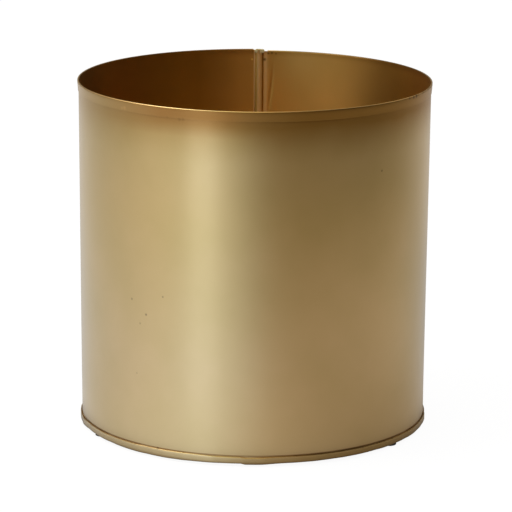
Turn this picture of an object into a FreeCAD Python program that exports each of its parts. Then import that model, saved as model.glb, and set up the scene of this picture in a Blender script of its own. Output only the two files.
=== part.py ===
import FreeCAD, Part
import cmath
import os

import Sketcher

# A sheet-metal cachepot. One sheet is rolled into the wall, hooked to itself in a lock seam at the back
# and folded outward into a hem at the rim. A flat disc closes the foot in a turned-up double seam, and
# three stick-on pads carry the pot.
# Frame: origin on the floor in the middle of the pot, +Z up, the lock seam at +Y.

# Driving dimensions in millimetres, angles in degrees.
SIZES = [
    ("rim_radius", 125.0, "radius over the hem, the widest place"),
    ("foot_inset", 2.25, "how far the wall at the foot lies inside the widest place"),
    ("pot_height", 245.0, "underside of the base disc to the top of the rim"),
    ("sheet_thickness", 0.35, "thickness of both sheets"),
    ("lap_gap", 0.05, "air between two folded layers"),
    ("hem_gap", 0.5, "air inside the open fold of the hem"),
    ("hem_height", 7.0, "top of the rim to the cut edge of the hem"),
    ("band_height", 5.0, "height of the foot seam over the underside of the disc"),
    ("crease_rise", 1.5, "foot seam to the crease where the wall starts to flare"),
    ("lock_width", 5.5, "width of the lock seam at the foot, fold to fold"),
    ("joggle_radius", 0.5, "inside radius of the bend that starts the joggle"),
    ("joggle_slack", 0.1, "spare run between the two bends of the joggle"),
    ("left_notch", 0.6, "joggle to the notched hem on its left"),
    ("right_notch", 3.2, "lock seam to the notched hem on its right"),
    ("solder_height", 0.6, "solder tack on the top end of the lock seam"),
    ("solder_edge_radius", 0.25, "rounding of the solder tack"),
    ("pad_diameter", 11.0, "foot pad"),
    ("pad_height", 2.0, "foot pad"),
    ("pad_edge_radius", 0.4, "rounding of the foot pad's lower edge"),
    ("pad_inset", 6.25, "wall at the foot to the centre of a foot pad"),
    ("first_pad_angle", -33.5, "place of the first foot pad, from +X towards +Y"),
    ("adhesive_height", 0.2, "adhesive disc between a foot pad and the base"),
    ("adhesive_inset", 0.5, "edge of the foot pad to the edge of its adhesive disc"),
]
PAD_SIDES = ("right", "back", "left")
PAD_STEP = 360 / len(PAD_SIDES)

doc = FreeCAD.newDocument("cachepot")
sizes = doc.addObject("Spreadsheet::Sheet", "Sizes")
for row, (alias, number, note) in enumerate(SIZES, start=1):
    sizes.set(f"A{row}", alias)
    sizes.set(f"B{row}", str(number))
    sizes.set(f"C{row}", note)
    sizes.setAlias(f"B{row}", alias)
doc.recompute()


def stack(sheets, gaps):
    """Thickness of so many layers of sheet and so many gaps between them."""
    return f"({sheets} * Sizes.sheet_thickness + {gaps} * Sizes.lap_gap)"


def turn(run, radius):
    """Angle about the pot's axis that a run takes up at a radius."""
    return f"asin(({run}) / {radius})"


# A tight fold goes round one layer and the gaps on both its sides. The edge that it holds ends level
# with the centre of the fold.
FOLD_RADIUS = stack(1.5, 1)

# Levels above the floor.
BASE_LEVEL = "(Sizes.pad_height + Sizes.adhesive_height)"
FLOOR_LEVEL = f"({BASE_LEVEL} + {stack(1, 1)})"
FOOT_FOLD_LEVEL = f"({FLOOR_LEVEL} + {FOLD_RADIUS})"
BAND_LEVEL = f"({BASE_LEVEL} + Sizes.band_height)"
BAND_FOLD_LEVEL = f"({BAND_LEVEL} - {FOLD_RADIUS})"
CREASE_LEVEL = f"({BAND_LEVEL} + Sizes.crease_rise)"
RIM_LEVEL = f"({BASE_LEVEL} + Sizes.pot_height)"
HEM_EDGE_LEVEL = f"({RIM_LEVEL} - Sizes.hem_height)"
HEM_FOLD_LEVEL = f"({RIM_LEVEL} - Sizes.sheet_thickness - Sizes.hem_gap / 2)"
SEAM_TOP_LEVEL = f"({RIM_LEVEL} - Sizes.solder_height)"

# Radius of the wall's outer face, at its foot and inside the hem.
FOOT_RADIUS = "(Sizes.rim_radius - Sizes.foot_inset)"
TOP_RADIUS = "(Sizes.rim_radius - Sizes.sheet_thickness - Sizes.hem_gap)"

# Circle that the foot pads stand on.
PAD_CIRCLE_RADIUS = f"({FOOT_RADIUS} - Sizes.pad_inset)"

# Runs from the +Y axis to where the lock seam's folds turn, on both sides, and to where its joggle starts.
HOOK_RUN = f"Sizes.lock_width / 2 - {FOLD_RADIUS}"
JOGGLE_RUN = f"Sizes.lock_width / 2 + {stack(1, 1)} + Sizes.joggle_radius + Sizes.joggle_slack"

# The hem and the foot flange are notched between these angles from the +Y axis, left and right.
LEFT = turn(f"{JOGGLE_RUN} + Sizes.left_notch", FOOT_RADIUS)
RIGHT = turn("Sizes.lock_width / 2 + Sizes.right_notch", FOOT_RADIUS)


def worth(expression):
    """Present value of an expression of the sizes."""
    value = sizes.evalExpression(expression)
    return float(getattr(value, "Value", value))


def attach(sketch, body, plane):
    """Lays a sketch on one of its body's origin planes."""
    origin_plane = next(f for f in body.Origin.OriginFeatures if f.Role == plane)
    sketch.AttachmentSupport = [(origin_plane, "")]
    sketch.MapMode = "FlatFace"


class Outline:
    """A closed sketch drawn from corner to corner. Each corner is a pair of expressions, which hold it."""

    def __init__(self, body, name, plane, level=None):
        self.sketch = body.newObject("Sketcher::SketchObject", name)
        attach(self.sketch, body, plane)
        if level:
            self.sketch.setExpression("AttachmentOffset.Base.z", level)
        self.first = None
        self.joint = None

    def start(self, corner):
        self.here = corner

    def line_to(self, corner):
        """A straight edge to the next corner."""
        self.add(Part.LineSegment(place(self.here), place(corner)), 1, "Coincident")
        self.hold(self.joint, corner)
        self.here = corner

    def arc_to(self, corner, centre, way):
        """An arc to the next corner, counter-clockwise for way 1 and clockwise for way -1."""
        begin = place(self.here)
        end = place(corner)
        edge = self.add(arc(place(centre), begin, end, way), 1 if way > 0 else 2, "Coincident")
        self.hold(self.joint, corner)
        chord = end - begin
        self.hold((edge, 3), centre, "DistanceX" if abs(chord.y) > abs(chord.x) else "DistanceY")
        self.here = corner

    def ring_to(self, corner, way):
        """An arc about the pot's axis to the next corner."""
        ring = arc(FreeCAD.Vector(), place(self.here), place(corner), way)
        edge = self.add(ring, 1 if way > 0 else 2, "Coincident")
        self.hold(self.joint, corner)
        self.sketch.addConstraint(Sketcher.Constraint("PointOnObject", edge, 3, -1))
        self.here = corner

    def joggle_to(self, corner, centres, way):
        """Two opposite bends about two centres, with the straight run that is tangent to both."""
        begin = place(self.here)
        end = place(corner)
        first, second = (place(centre) for centre in centres)
        leave, arrive = inner_tangent(first, second, (begin - first).Length, (end - second).Length, way)
        bend = self.add(arc(first, begin, leave, way), 1 if way > 0 else 2, "Coincident")
        self.hold((bend, 3), centres[0])
        self.add(Part.LineSegment(leave, arrive), 1, "Tangent")
        bend = self.add(arc(second, arrive, end, -way), 1 if way < 0 else 2, "Tangent")
        self.hold((bend, 3), centres[1])
        self.hold(self.joint, corner)
        self.here = corner

    def close(self):
        """A straight edge back to the first corner."""
        self.add(Part.LineSegment(place(self.here), self.begin), 1, "Coincident")
        self.sketch.addConstraint(Sketcher.Constraint("Coincident", *self.joint, *self.first))
        return self.sketch

    def add(self, geometry, tail, kind):
        """Adds an edge whose end number tail joins the edge before."""
        edge = self.sketch.addGeometry(geometry, False)
        if self.joint:
            self.sketch.addConstraint(Sketcher.Constraint(kind, *self.joint, edge, tail))
        else:
            self.first = (edge, tail)
            self.begin = place(self.here)
            self.hold(self.first, self.here)
        self.joint = (edge, 3 - tail)
        return edge

    def hold(self, point, corner, only=None):
        """Holds a point of an edge at a corner, in both directions or in only one."""
        for direction, expression in zip(("DistanceX", "DistanceY"), corner):
            if only in (None, direction):
                constraint = Sketcher.Constraint(direction, -1, 1, *point, worth(expression))
                number = self.sketch.addConstraint(constraint)
                self.sketch.setExpression(f"Constraints[{number}]", expression)


def place(corner):
    """Present place of a corner in its sketch."""
    return FreeCAD.Vector(worth(corner[0]), worth(corner[1]), 0)


def arc(centre, begin, end, way):
    """Arc of a circle from begin to end, counter-clockwise for way 1."""
    if way < 0:
        begin, end = end, begin
    circle = Part.Circle(centre, FreeCAD.Vector(0, 0, 1), (begin - centre).Length)
    return Part.ArcOfCircle(circle, circle.parameter(begin), circle.parameter(end))


def inner_tangent(first, second, first_radius, second_radius, way):
    """Ends of the straight line from one circle to another that it crosses between."""
    apart = complex(second.x - first.x, second.y - first.y)
    reach = first_radius + second_radius
    straight = cmath.sqrt(abs(apart) ** 2 - reach**2)
    outward = -1j * way * apart / (straight - 1j * way * reach)
    leave = complex(first.x, first.y) + first_radius * outward
    arrive = complex(second.x, second.y) - second_radius * outward
    return FreeCAD.Vector(leave.real, leave.imag, 0), FreeCAD.Vector(arrive.real, arrive.imag, 0)


def front(radius, level):
    """Corner of a half section that lies towards -Y."""
    return f"-({radius})", level


def around(radius, angle):
    """Corner at a radius from the pot's axis and an angle from +Y, positive towards +X."""
    return f"({radius}) * sin({angle})", f"({radius}) * cos({angle})"


def new_body(label):
    body = doc.addObject("PartDesign::Body", label)
    body.Label = label
    return body


def wall_section(body):
    """Half section of the wall: the foot flange, the wall with its slight flare and the hem."""
    thickness = "Sizes.sheet_thickness"
    flange = f"{FOOT_RADIUS} + {stack(1, 2)}"
    flange_outside = f"{FOOT_RADIUS} + {stack(2, 2)}"
    foot_fold = front(f"{FOOT_RADIUS} + {stack(0.5, 1)}", FOOT_FOLD_LEVEL)
    hem_fold = front(f"{TOP_RADIUS} + Sizes.hem_gap / 2", HEM_FOLD_LEVEL)
    hem_inside = f"{TOP_RADIUS} + Sizes.hem_gap"
    outline = Outline(body, "wall_section", "YZ_Plane")
    outline.start(front(flange_outside, BAND_FOLD_LEVEL))
    outline.line_to(front(flange, BAND_FOLD_LEVEL))
    outline.line_to(front(flange, FOOT_FOLD_LEVEL))
    outline.arc_to(front(FOOT_RADIUS, FOOT_FOLD_LEVEL), foot_fold, 1)
    outline.line_to(front(FOOT_RADIUS, CREASE_LEVEL))
    outline.line_to(front(TOP_RADIUS, HEM_EDGE_LEVEL))
    outline.line_to(front(TOP_RADIUS, HEM_FOLD_LEVEL))
    outline.arc_to(front(hem_inside, HEM_FOLD_LEVEL), hem_fold, 1)
    outline.line_to(front(hem_inside, HEM_EDGE_LEVEL))
    outline.line_to(front("Sizes.rim_radius", HEM_EDGE_LEVEL))
    outline.line_to(front("Sizes.rim_radius", HEM_FOLD_LEVEL))
    outline.arc_to(front(f"{TOP_RADIUS} - {thickness}", HEM_FOLD_LEVEL), hem_fold, -1)
    outline.line_to(front(f"{TOP_RADIUS} - {thickness}", HEM_EDGE_LEVEL))
    outline.line_to(front(f"{FOOT_RADIUS} - {thickness}", CREASE_LEVEL))
    outline.line_to(front(f"{FOOT_RADIUS} - {thickness}", FOOT_FOLD_LEVEL))
    outline.arc_to(front(flange_outside, FOOT_FOLD_LEVEL), foot_fold, -1)
    return outline.close()


def right_hook(body, name, level, radius):
    """Section of the sheet's right edge, which is folded once and lies in layers one and three."""
    hook = turn(HOOK_RUN, radius)
    fold = around(f"{radius} - {FOLD_RADIUS}", f"-{hook}")
    outline = Outline(body, name, "XY_Plane", level)
    outline.start(around(radius, RIGHT))
    outline.ring_to(around(radius, f"-{hook}"), 1)
    outline.arc_to(around(f"{radius} - {stack(3, 2)}", f"-{hook}"), fold, 1)
    outline.ring_to(around(f"{radius} - {stack(3, 2)}", hook), -1)
    outline.line_to(around(f"{radius} - {stack(2, 2)}", hook))
    outline.ring_to(around(f"{radius} - {stack(2, 2)}", f"-{hook}"), 1)
    outline.arc_to(around(f"{radius} - {stack(1, 0)}", f"-{hook}"), fold, -1)
    outline.ring_to(around(f"{radius} - {stack(1, 0)}", RIGHT), -1)
    return outline.close()


def left_hook(body, name, level, radius):
    """Section of the sheet's left edge, which is joggled inward to layer four and folded under to two."""
    hook = turn(HOOK_RUN, radius)
    joggle = turn(JOGGLE_RUN, radius)
    bend = around(f"{radius} - {stack(1, 0)} - Sizes.joggle_radius", f"-{joggle}")
    wrap = around(f"{radius} - {FOLD_RADIUS}", f"-{hook}")
    fold = around(f"{radius} - {stack(2.5, 2)}", hook)
    outline = Outline(body, name, "XY_Plane", level)
    outline.start(around(radius, f"-{LEFT}"))
    outline.ring_to(around(radius, f"-{joggle}"), -1)
    outline.joggle_to(around(f"{radius} - {stack(3, 3)}", f"-{hook}"), (bend, wrap), -1)
    outline.ring_to(around(f"{radius} - {stack(3, 3)}", hook), -1)
    outline.arc_to(around(f"{radius} - {stack(2, 1)}", hook), fold, 1)
    outline.ring_to(around(f"{radius} - {stack(2, 1)}", f"-{hook}"), 1)
    outline.line_to(around(f"{radius} - {stack(1, 1)}", f"-{hook}"))
    outline.ring_to(around(f"{radius} - {stack(1, 1)}", hook), -1)
    outline.arc_to(around(f"{radius} - {stack(4, 3)}", hook), fold, -1)
    outline.ring_to(around(f"{radius} - {stack(4, 3)}", f"-{hook}"), 1)
    outline.joggle_to(around(f"{radius} - {stack(1, 0)}", f"-{joggle}"), (wrap, bend), -1)
    outline.ring_to(around(f"{radius} - {stack(1, 0)}", f"-{LEFT}"), 1)
    return outline.close()


def seam_edge(body, name, draw):
    """One edge of the lock seam, lofted up the wall through four sections."""
    sections = [
        draw(body, f"{name}_{place_name}", level, radius)
        for place_name, level, radius in (
            ("foot", FLOOR_LEVEL, FOOT_RADIUS),
            ("crease", CREASE_LEVEL, FOOT_RADIUS),
            ("hem", HEM_EDGE_LEVEL, TOP_RADIUS),
            ("top", SEAM_TOP_LEVEL, TOP_RADIUS),
        )
    ]
    loft = body.newObject("PartDesign::AdditiveLoft", name)
    loft.Profile = sections[0]
    loft.Sections = sections[1:]
    loft.Ruled = True
    return loft


def wall_sheet():
    """The rolled sheet: wall, hem and foot flange in one turn, and the lock seam's two hooked edges."""
    body = new_body("wall_sheet")
    rolled = body.newObject("PartDesign::Revolution", "rolled_wall")
    section = wall_section(body)
    rolled.Profile = section
    rolled.ReferenceAxis = (section, ["V_Axis"])
    rolled.Type = "TwoAngles"
    rolled.setExpression("Angle", f"180 deg - {RIGHT}")
    rolled.setExpression("Angle2", f"180 deg - {LEFT}")
    seam_edge(body, "right_hook", right_hook)
    seam_edge(body, "left_hook", left_hook)
    return body


def base_disc():
    """The flat disc, turned up outside the foot flange and folded down between the flange and the wall."""
    body = new_body("base_disc")
    outside = f"{FOOT_RADIUS} + {stack(3, 3)}"
    outside_face_in = f"{FOOT_RADIUS} + {stack(2, 3)}"
    hook_face_in = f"{FOOT_RADIUS} + {stack(0, 1)}"
    hook_face_out = f"{FOOT_RADIUS} + {stack(1, 1)}"
    corner = (f"{FOOT_RADIUS} + {stack(0.5, 1)}", FOOT_FOLD_LEVEL)
    fold = (f"{FOOT_RADIUS} + {stack(1.5, 2)}", BAND_FOLD_LEVEL)
    outline = Outline(body, "base_section", "XZ_Plane")
    outline.start(("0 mm", BASE_LEVEL))
    outline.line_to((corner[0], BASE_LEVEL))
    outline.arc_to((outside, FOOT_FOLD_LEVEL), corner, 1)
    outline.line_to((outside, BAND_FOLD_LEVEL))
    outline.arc_to((hook_face_in, BAND_FOLD_LEVEL), fold, 1)
    outline.line_to((hook_face_in, FOOT_FOLD_LEVEL))
    outline.line_to((hook_face_out, FOOT_FOLD_LEVEL))
    outline.line_to((hook_face_out, BAND_FOLD_LEVEL))
    outline.arc_to((outside_face_in, BAND_FOLD_LEVEL), fold, -1)
    outline.line_to((outside_face_in, FOOT_FOLD_LEVEL))
    outline.arc_to((corner[0], f"{BASE_LEVEL} + {stack(1, 0)}"), corner, -1)
    outline.line_to(("0 mm", f"{BASE_LEVEL} + {stack(1, 0)}"))
    section = outline.close()
    turned = body.newObject("PartDesign::Revolution", "turned_base")
    turned.Profile = section
    turned.ReferenceAxis = (section, ["V_Axis"])
    turned.Angle = 360
    return body


def edges_at(feature, level):
    """Names of the feature's edges that lie flat at a level."""
    names = []
    for number, edge in enumerate(feature.Shape.Edges, start=1):
        box = edge.BoundBox
        if max(abs(box.ZMin - level), abs(box.ZMax - level)) < Part.Precision.confusion():
            names.append(f"Edge{number}")
    return names


def round_edges(body, feature, level, radius):
    """Rounds the feature's edges that lie flat at a level."""
    doc.recompute()
    fillet = body.newObject("PartDesign::Fillet", f"{body.Label}_rounding")
    fillet.Base = (feature, edges_at(feature, level))
    fillet.setExpression("Radius", radius)


def seam_solder():
    """The tack of solder that closes the top end of the lock seam."""
    body = new_body("seam_solder")
    inside = f"{TOP_RADIUS} - {stack(4, 3)}"
    lock_edge = turn("Sizes.lock_width / 2", TOP_RADIUS)
    outline = Outline(body, "seam_end", "XY_Plane", SEAM_TOP_LEVEL)
    outline.start(around(TOP_RADIUS, lock_edge))
    outline.ring_to(around(TOP_RADIUS, f"-{lock_edge}"), 1)
    outline.line_to(around(inside, f"-{lock_edge}"))
    outline.ring_to(around(inside, lock_edge), -1)
    tack = body.newObject("PartDesign::Pad", "tack")
    tack.Profile = outline.close()
    tack.setExpression("Length", "Sizes.solder_height")
    round_edges(body, tack, worth(RIM_LEVEL), "Sizes.solder_edge_radius")
    return body


def disc_on_foot_circle(label, number, radius, height, level):
    """A flat disc, in its own body, at one of the evenly spaced places of the feet."""
    body = new_body(label)
    sketch = body.newObject("Sketcher::SketchObject", f"{label}_outline")
    attach(sketch, body, "XY_Plane")
    circle = Part.Circle(FreeCAD.Vector(), FreeCAD.Vector(0, 0, 1), worth(radius))
    edge = sketch.addGeometry(circle, False)
    sketch.addConstraint(Sketcher.Constraint("Coincident", edge, 3, -1, 1))
    size = sketch.addConstraint(Sketcher.Constraint("Radius", edge, worth(radius)))
    sketch.setExpression(f"Constraints[{size}]", radius)
    disc = body.newObject("PartDesign::Pad", f"{label}_disc")
    disc.Profile = sketch
    disc.setExpression("Length", height)
    angle = f"(Sizes.first_pad_angle + {number * PAD_STEP}) * 1 deg"
    body.setExpression("Placement.Base.x", f"{PAD_CIRCLE_RADIUS} * cos({angle})")
    body.setExpression("Placement.Base.y", f"{PAD_CIRCLE_RADIUS} * sin({angle})")
    body.setExpression("Placement.Base.z", level)
    return body, disc


def foot_pad(side, number):
    """A rubber pad that the pot stands on."""
    body, disc = disc_on_foot_circle(
        f"foot_pad_{side}", number, "Sizes.pad_diameter / 2", "Sizes.pad_height", "0 mm"
    )
    round_edges(body, disc, 0, "Sizes.pad_edge_radius")
    return body


def pad_adhesive(side, number):
    """The adhesive disc that holds a pad to the base."""
    radius = "Sizes.pad_diameter / 2 - Sizes.adhesive_inset"
    body, _ = disc_on_foot_circle(
        f"pad_adhesive_{side}", number, radius, "Sizes.adhesive_height", "Sizes.pad_height"
    )
    return body


parts = [wall_sheet(), base_disc(), seam_solder()]
for number, side in enumerate(PAD_SIDES):
    parts.append(foot_pad(side, number))
    parts.append(pad_adhesive(side, number))
doc.recompute()

for item in doc.Objects:
    if {"Invalid", "Error"} & set(item.State):
        raise RuntimeError(f"{item.Name} failed: {item.State}")
for part in parts:
    if part.Shape.isNull() or not part.Shape.isValid() or len(part.Shape.Solids) != 1:
        raise RuntimeError(f"{part.Label} is not one valid solid")

os.makedirs("parts", exist_ok=True)
for part in parts:
    part.Shape.exportStep(f"parts/{part.Label}.step")
    print(part.Label, round(part.Shape.Volume, 2), part.Shape.BoundBox)
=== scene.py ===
import math

import bpy
import numpy as np
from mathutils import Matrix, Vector


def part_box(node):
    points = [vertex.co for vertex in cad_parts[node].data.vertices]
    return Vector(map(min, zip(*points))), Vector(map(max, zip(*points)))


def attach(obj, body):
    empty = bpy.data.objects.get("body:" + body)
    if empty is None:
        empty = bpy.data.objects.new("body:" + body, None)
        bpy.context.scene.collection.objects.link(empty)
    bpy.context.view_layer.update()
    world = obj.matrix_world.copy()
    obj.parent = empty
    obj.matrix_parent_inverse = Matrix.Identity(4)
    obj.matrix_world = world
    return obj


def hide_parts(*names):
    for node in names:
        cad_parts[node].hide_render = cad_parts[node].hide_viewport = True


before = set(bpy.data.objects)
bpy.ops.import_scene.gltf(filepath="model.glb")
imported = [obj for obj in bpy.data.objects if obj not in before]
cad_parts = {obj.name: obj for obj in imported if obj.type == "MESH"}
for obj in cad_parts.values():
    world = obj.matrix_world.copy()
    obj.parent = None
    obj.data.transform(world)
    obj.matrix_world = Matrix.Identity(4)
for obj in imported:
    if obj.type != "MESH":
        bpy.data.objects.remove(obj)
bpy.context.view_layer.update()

# The sheet, in metres: its thickness, and the air between two folded layers.
SHEET = 0.00035
LAP = 0.00005
LAYER = SHEET + LAP
FOLD_RADIUS = 1.5 * SHEET + LAP

# Levels and radii of the pot, read from the frame.
wall_low, wall_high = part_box("wall_sheet")
base_low, base_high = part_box("base_disc")
solder_low, solder_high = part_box("seam_solder")
RIM_LEVEL = wall_high.z
SEAM_TOP_LEVEL = solder_low.z
SEAM_FOOT_LEVEL = wall_low.z
BASE_LEVEL = base_low.z
BAND_LEVEL = base_high.z
BAND_RADIUS = base_high.x
FOOT_RADIUS = BAND_RADIUS - 3 * LAYER
TOP_RADIUS = solder_high.y

# The wall's forms: the crease above the foot seam, the hem, and the lock seam and notches about +Y.
CREASE_RISE = 0.0015
HEM_HEIGHT = 0.007
HEM_GAP = 0.0005
LOCK_WIDTH = 0.0055
JOGGLE_RADIUS = 0.0005
JOGGLE_SLACK = 0.0001
LEFT_NOTCH = 0.0006
RIGHT_NOTCH = 0.0032
CREASE_LEVEL = BAND_LEVEL + CREASE_RISE
HEM_EDGE_LEVEL = RIM_LEVEL - HEM_HEIGHT
HEM_FOLD_LEVEL = RIM_LEVEL - SHEET - HEM_GAP / 2
FOOT_FOLD_LEVEL = SEAM_FOOT_LEVEL + FOLD_RADIUS
BAND_FOLD_LEVEL = BAND_LEVEL - FOLD_RADIUS
HOOK_RUN = LOCK_WIDTH / 2 - FOLD_RADIUS
JOGGLE_RUN = LOCK_WIDTH / 2 + LAYER + JOGGLE_RADIUS + JOGGLE_SLACK
LEFT_RUN = JOGGLE_RUN + LEFT_NOTCH
RIGHT_RUN = LOCK_WIDTH / 2 + RIGHT_NOTCH

# How finely the meshes are divided, and how far beside the lock seam the finer columns reach.
COLUMNS = 480
WALL_ROWS = 40
FOLD_STEPS = 10
FINE_COLUMNS = 26
FINE_REACH = 0.010


def smooth_step(value, low, high):
    """0 below low, 1 above high and a smooth rise between them."""
    share = np.clip((value - low) / (high - low), 0, 1)
    return share * share * (3 - 2 * share)


def arc(centre, radius, start, end, steps=FOLD_STEPS):
    """Points of an arc in a plane of complex numbers, from one angle to another in degrees."""
    return centre + radius * np.exp(1j * np.radians(np.linspace(start, end, steps + 1)))


def run(start, end, steps):
    """Points of a straight run between two complex numbers, without its ends."""
    return start + (end - start) * np.arange(1, steps) / steps


def wall_radius(level):
    """Radius of the wall's outer face at a level."""
    share = np.clip((level - CREASE_LEVEL) / (HEM_EDGE_LEVEL - CREASE_LEVEL), 0, 1)
    return FOOT_RADIUS + (TOP_RADIUS - FOOT_RADIUS) * share


# Hand-rolled sheet is never quite round: each wave is its count round the pot, its height in metres, where
# it starts, in degrees, and how many half waves it has from foot to rim. They set in above the crease, over
# a height of their own.
WALL_WAVES = [(3, 0.00010, 40, 0.6), (5, 0.00006, 110, 1.0), (8, 0.00004, 200, 1.6), (13, 0.00002, 15, 2.4)]
WAVES_RISE = 0.03

# The step between the rim's two ends at the lock seam, how far the higher end is lifted, and the level above
# which the sheet gives way to it.
RIM_STEP = 0.0010
RIM_LIFT = 0.0006
RIM_STEP_START = 0.150

# The dimple beside the lock seam: where its top and foot lie, along the wall and up, how deep and wide it is,
# and over which shares of its length it begins and ends.
DIMPLE_TOP = (0.0101, 0.2265)
DIMPLE_FOOT = (0.0071, 0.2040)
DIMPLE_DEPTH = 0.0004
DIMPLE_WIDTH = 0.0009
DIMPLE_START = (-0.25, 0.15)
DIMPLE_END = (0.85, 1.25)


def waved(angle, waves):
    """The sum of waves at an angle: each is its count round the pot, its height and its start in degrees."""
    return sum(height * math.sin(count * angle + math.radians(start)) for count, height, start in waves)


def out_of_round(angle, level):
    """How far the wall stands out from its true radius."""
    bulge = np.zeros(np.broadcast(angle, level).shape)
    for count, height, start, halves in WALL_WAVES:
        rise = np.cos(math.pi * halves * level / RIM_LEVEL)
        bulge = bulge + height * np.sin(count * angle + math.radians(start)) * rise
    return bulge * smooth_step(level, CREASE_LEVEL, CREASE_LEVEL + WAVES_RISE) + dimple(angle, level)


def dimple(angle, level):
    """The shallow slanting dimple beside the lock seam, pressed outward from the inside."""
    run_along = angle * TOP_RADIUS
    share = (DIMPLE_TOP[1] - level) / (DIMPLE_TOP[1] - DIMPLE_FOOT[1])
    middle = DIMPLE_TOP[0] + (DIMPLE_FOOT[0] - DIMPLE_TOP[0]) * share
    across = np.exp(-(((run_along - middle) / DIMPLE_WIDTH) ** 2))
    along = smooth_step(share, *DIMPLE_START) * (1 - smooth_step(share, *DIMPLE_END))
    return DIMPLE_DEPTH * across * along


def rim_drop(angle, level):
    """The rim is rolled slightly askew, so its two ends meet at the lock seam with a step."""
    share = 1 - min(max(angle, 0), 2 * math.pi) / (2 * math.pi)
    return (RIM_STEP * share - RIM_LIFT) * smooth_step(level, RIM_STEP_START, RIM_LEVEL)


def spun(angle, radius, level):
    """Points at angles from +Y towards +X, radii and levels."""
    return np.stack([radius * np.sin(angle), radius * np.cos(angle), level], axis=-1)


# How far the lock seam's ridge bulges out in its middle.
RIDGE_CROWN = 0.00022


def left_hook():
    """Middle line of the sheet's left edge across the lock seam: run along the wall + 1j * depth in it."""
    bend = complex(-JOGGLE_RUN, SHEET + JOGGLE_RADIUS)
    wrap = complex(-HOOK_RUN, FOLD_RADIUS)
    bend_radius = JOGGLE_RADIUS + SHEET / 2
    wrap_radius = 3 * LAYER + SHEET / 2 - FOLD_RADIUS
    reach = bend_radius + wrap_radius
    straight = math.sqrt(abs(wrap - bend) ** 2 - reach**2)
    outward = -1j * (wrap - bend) / (straight - 1j * reach)
    turned = math.degrees(np.angle(outward))
    fold = complex(HOOK_RUN, 2.5 * SHEET + 2 * LAP)
    ridge = run(wrap + 1j * wrap_radius, fold + 1j * LAYER, steps=10)
    lines = [
        arc(bend, bend_radius, -90, turned),
        arc(wrap, wrap_radius, turned + 180, 90),
        ridge + 1j * RIDGE_CROWN * (1 - (ridge.real / HOOK_RUN) ** 2),
        arc(fold, LAYER, 90, -90),
        run(fold - 1j * LAYER, complex(-HOOK_RUN, 1.5 * SHEET + LAP), steps=6),
        np.array([complex(-HOOK_RUN, 1.5 * SHEET + LAP)]),
    ]
    return np.concatenate(lines)


def right_hook():
    """The same of its right edge, from the free end to the wall."""
    fold = complex(-HOOK_RUN, FOLD_RADIUS)
    end = complex(HOOK_RUN, 2.5 * SHEET + 2 * LAP)
    lines = [
        np.array([end]),
        run(end, fold + 1j * LAYER, steps=6),
        arc(fold, LAYER, 90, 270),
        run(fold - 1j * LAYER, complex(RIGHT_RUN, SHEET / 2), steps=10),
    ]
    return np.concatenate(lines)


def full_profile(angle):
    """Middle line of the sheet from the foot flange to the hem's edge, as radii and levels, and the number
    of points before the wall."""
    flange = complex(FOOT_RADIUS + 1.5 * SHEET + 2 * LAP, band_fold_level(angle))
    foot_fold = complex(FOOT_RADIUS + SHEET / 2 + LAP, FOOT_FOLD_LEVEL)
    hem_fold = complex(TOP_RADIUS + HEM_GAP / 2, HEM_FOLD_LEVEL)
    hem_radius = (HEM_GAP + SHEET) / 2
    foot = np.concatenate([
        [flange],
        run(flange, complex(flange.real, FOOT_FOLD_LEVEL), steps=3),
        arc(foot_fold, LAYER, 0, -180)[:-1],
    ])
    levels = wall_levels()
    wall = wall_radius(levels) - SHEET / 2 + 1j * levels
    edge = complex(TOP_RADIUS + SHEET / 2 + hem_opening(angle), HEM_EDGE_LEVEL)
    side = hem_side(hem_fold + hem_radius, edge)
    hem = np.concatenate([arc(hem_fold, hem_radius, 180, 0)[1:], side])
    return np.concatenate([foot, wall, hem]), len(foot)


def wall_levels():
    """Levels of the wall's rows, closer together at the crease and inside the hem."""
    return np.concatenate([
        np.linspace(FOOT_FOLD_LEVEL, CREASE_LEVEL, 6)[:-1],
        np.linspace(CREASE_LEVEL, HEM_EDGE_LEVEL, WALL_ROWS)[:-1],
        np.linspace(HEM_EDGE_LEVEL, HEM_FOLD_LEVEL, 6),
    ])


# The air between the hem's edge and the wall, and its waves. The hem's side is a smooth step that would end
# at this many times its height.
HEM_OPEN = 0.00012
HEM_OPEN_WAVES = [(4, 0.00006, 250), (9, 0.00004, 60), (17, 0.00002, 170)]
HEM_CURVE = 1.15

# Where faces meet at more than this many degrees, the edge between them stays sharp.
SHARP_ANGLE = 50


def hem_opening(angle):
    """Air between the hem's edge and the wall, which the hammering closed unevenly."""
    return max(LAP, HEM_OPEN + waved(angle, HEM_OPEN_WAVES))


def hem_side(top, edge, steps=8):
    """The hem's outer side, which curves from the fold to its edge against the wall."""
    share = np.arange(1, steps + 1) / steps
    moved = (edge.real - top.real) * smooth_step(share, 0, HEM_CURVE)
    radius = top.real + moved / smooth_step(1, 0, HEM_CURVE)
    return radius + 1j * (top.imag + (edge.imag - top.imag) * share)


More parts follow.
